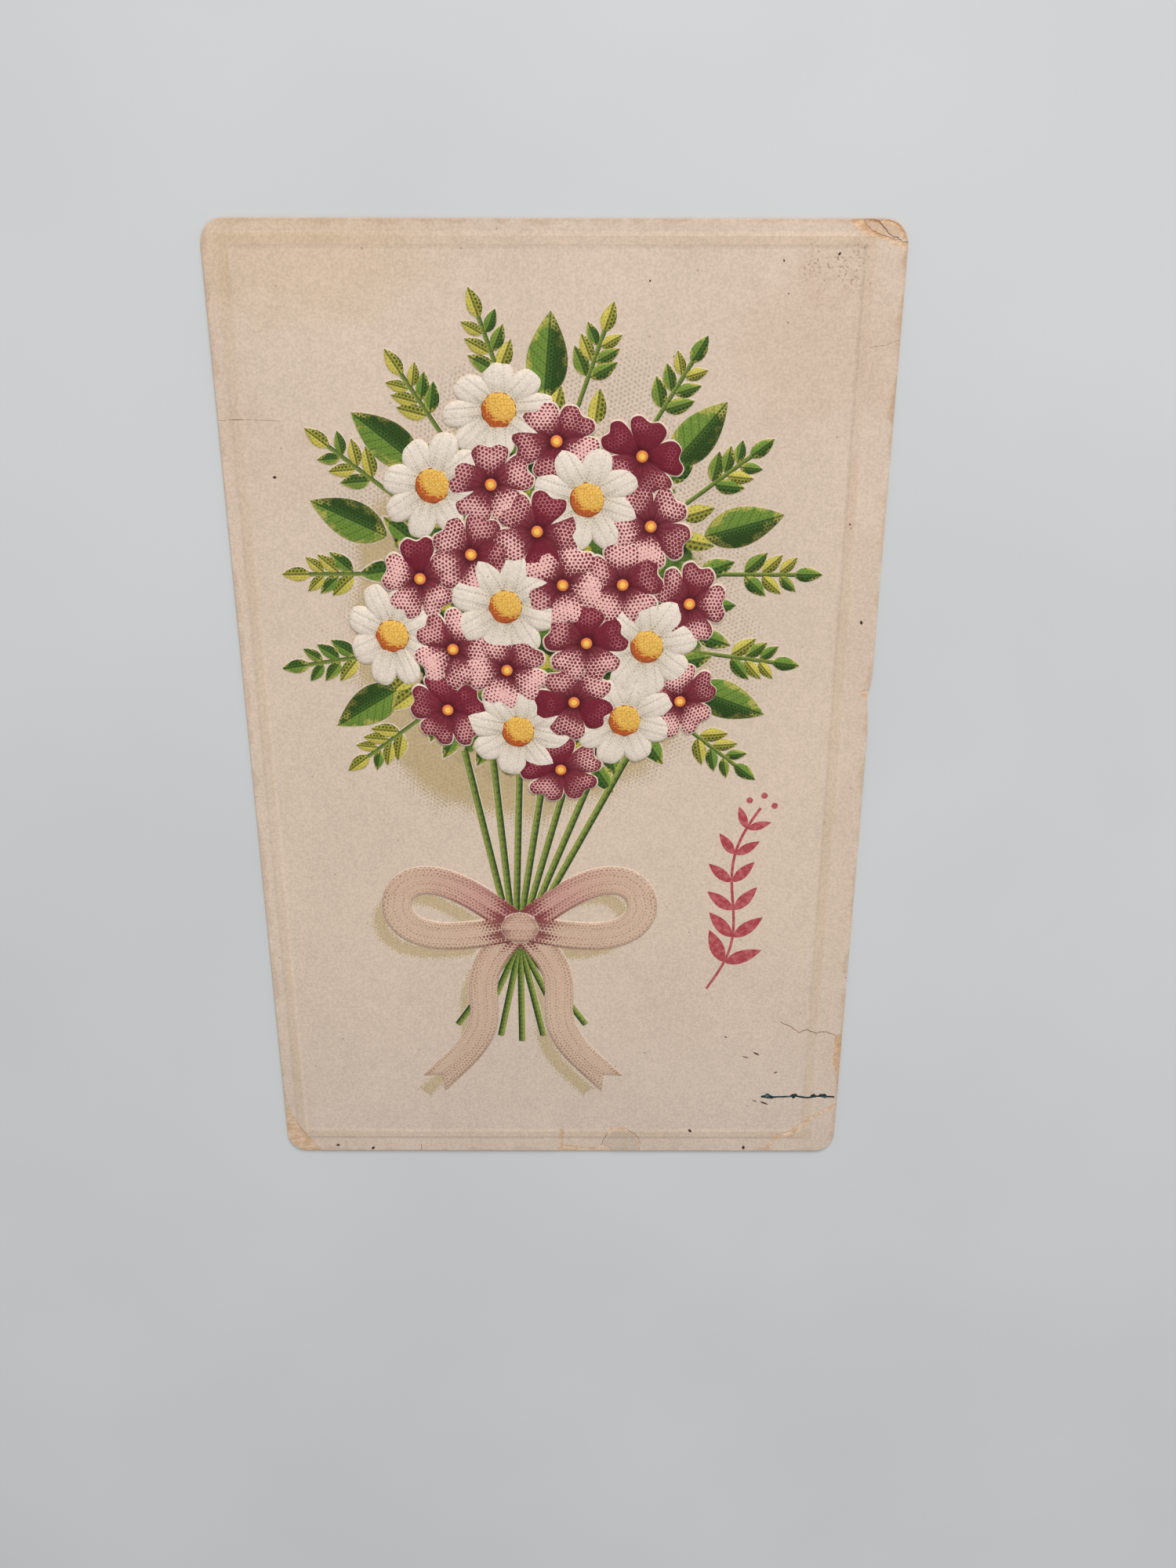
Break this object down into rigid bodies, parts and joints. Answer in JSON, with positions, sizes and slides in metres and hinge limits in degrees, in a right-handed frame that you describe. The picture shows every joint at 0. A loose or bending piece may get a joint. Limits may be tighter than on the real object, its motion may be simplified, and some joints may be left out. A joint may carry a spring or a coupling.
{
  "type": "embossed greeting postcard",
  "caption": "Portrait greeting postcard of embossed card stock, with a raised border band and a posy of flowers tied with a ribbon bow.",
  "frame": {"origin": "middle of the card's outline on the plane of its back", "axes": "+Z out of the picture side, +Y towards the top of the picture"},
  "size_m": [0.0888, 0.1396, 0.0013],
  "materials": {
    "card_stock": "aged cream card stock, printed and embossed, satin"
  },
  "bodies": {
    "root": {"card": "card_stock"}
  },
  "joints": []
}
